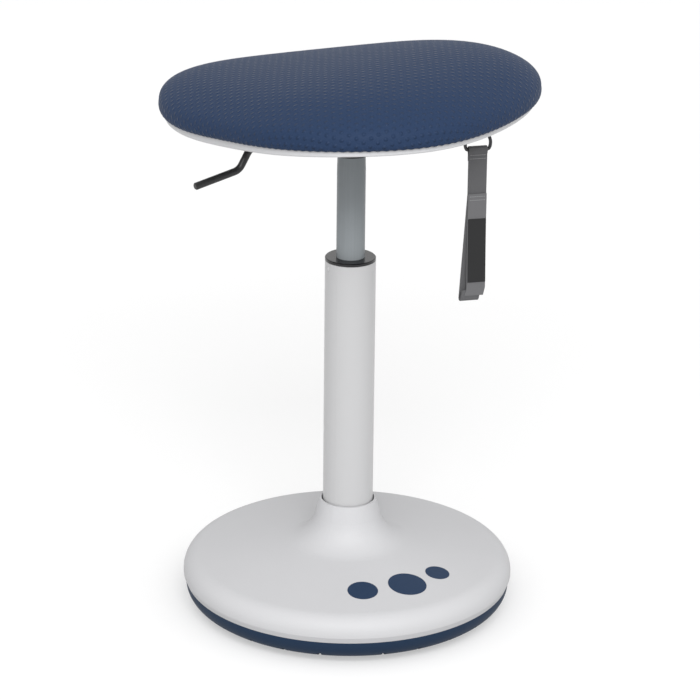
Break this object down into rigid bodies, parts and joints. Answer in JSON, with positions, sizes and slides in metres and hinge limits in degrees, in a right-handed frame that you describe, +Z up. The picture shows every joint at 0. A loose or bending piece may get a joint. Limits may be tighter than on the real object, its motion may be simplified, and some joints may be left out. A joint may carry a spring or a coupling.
{
  "type": "wobble stool",
  "caption": "Height-adjustable wobble stool with a saddle-shaped cushion, gas-lift column, rounded rocking base, release lever and carry strap.",
  "frame": {"origin": "on the floor at the column's axis, at the middle of the sole's flat underside", "axes": "+Z up along the column, -Y towards the seat's nose, +Y towards the carry strap, +X to the side right of the nose seen from above with the nose down"},
  "size_m": [0.3426, 0.3743, 0.5741],
  "materials": {
    "navy_rubber": "matt",
    "white_plastic": "finely textured",
    "zinc_steel": "zinc plated",
    "cast_iron": "as cast, painted",
    "white_tube": "satin white paint",
    "black_plastic": "moulded",
    "black_rubber": "matt",
    "bright_steel": "ground",
    "column_steel": "satin grey tube",
    "black_steel": "satin black paint",
    "seat_foam": "open-cell foam",
    "navy_fabric": "knit with small raised dots",
    "dark_metal": "dark plated wire",
    "grey_webbing": "woven webbing",
    "label_fabric": "plain dark label"
  },
  "bodies": {
    "base": {"base_sole": "navy_rubber", "base_cover": "white_plastic", "base_screws": "zinc_steel", "base_weight": "cast_iron", "outer_tube": "white_tube", "guide_bush": "black_plastic", "bearing_washer_lower": "zinc_steel", "bearing_ring": "black_plastic"},
    "rod": {"bearing_washer_upper": "zinc_steel", "bump_buffer": "black_rubber", "piston_rod": "bright_steel", "rod_clip": "zinc_steel", "clip_washer": "zinc_steel", "piston": "black_plastic", "piston_seal": "black_rubber"},
    "seat": {"gas_cylinder": "column_steel", "rod_guide": "black_plastic", "valve_body": "black_plastic", "taper_hub": "black_steel", "mechanism_plate": "black_steel", "lever_pivot": "zinc_steel", "seat_bolts": "zinc_steel", "threaded_inserts": "zinc_steel", "seat_shell": "white_plastic", "seat_pan": "black_plastic", "seat_foam": "seat_foam", "seat_cover": "navy_fabric", "strap_anchor": "black_steel", "anchor_screws": "zinc_steel"},
    "lever": {"release_lever": "black_steel"},
    "pin": {"release_pin": "bright_steel"},
    "ring": {"strap_ring": "dark_metal"},
    "strap": {"strap_webbing": "grey_webbing", "strap_label": "label_fabric"}
  },
  "joints": [
    {"name": "swivel", "type": "hinge", "parent": "base", "child": "rod", "pos_m": [0, 0, 0.03], "axis": [0, 0, 1], "continuous": true},
    {"name": "height_slide", "type": "slide", "parent": "rod", "child": "seat", "axis": [0, 0, 1], "range_m": [-0.1, 0.095]},
    {"name": "lever_pivot_hinge", "type": "hinge", "parent": "seat", "child": "lever", "pos_m": [0.04078, -0.01902, 0.4965], "axis": [-0.4226, -0.9063, 0], "range_deg": [0, 3.6], "stiffness_Nm_per_rad": 3, "springref_deg": -2.86},
    {"name": "pin_slide", "type": "slide", "parent": "seat", "child": "pin", "axis": [0, 0, -1], "range_m": [0, 0.003]},
    {"name": "ring_swing", "type": "hinge", "parent": "seat", "child": "ring", "pos_m": [0, 0.137, 0.51608], "axis": [0.6947, -0.7193, 0], "range_deg": [-45, 45]},
    {"name": "strap_swing", "type": "hinge", "parent": "ring", "child": "strap", "pos_m": [0, 0.137, 0.4976], "axis": [0.6947, -0.7193, 0], "range_deg": [-35, 35]}
  ],
  "couplings": [
    {"joint": "pin_slide", "follows": "lever_pivot_hinge", "m_per_rad": 0.045}
  ]
}
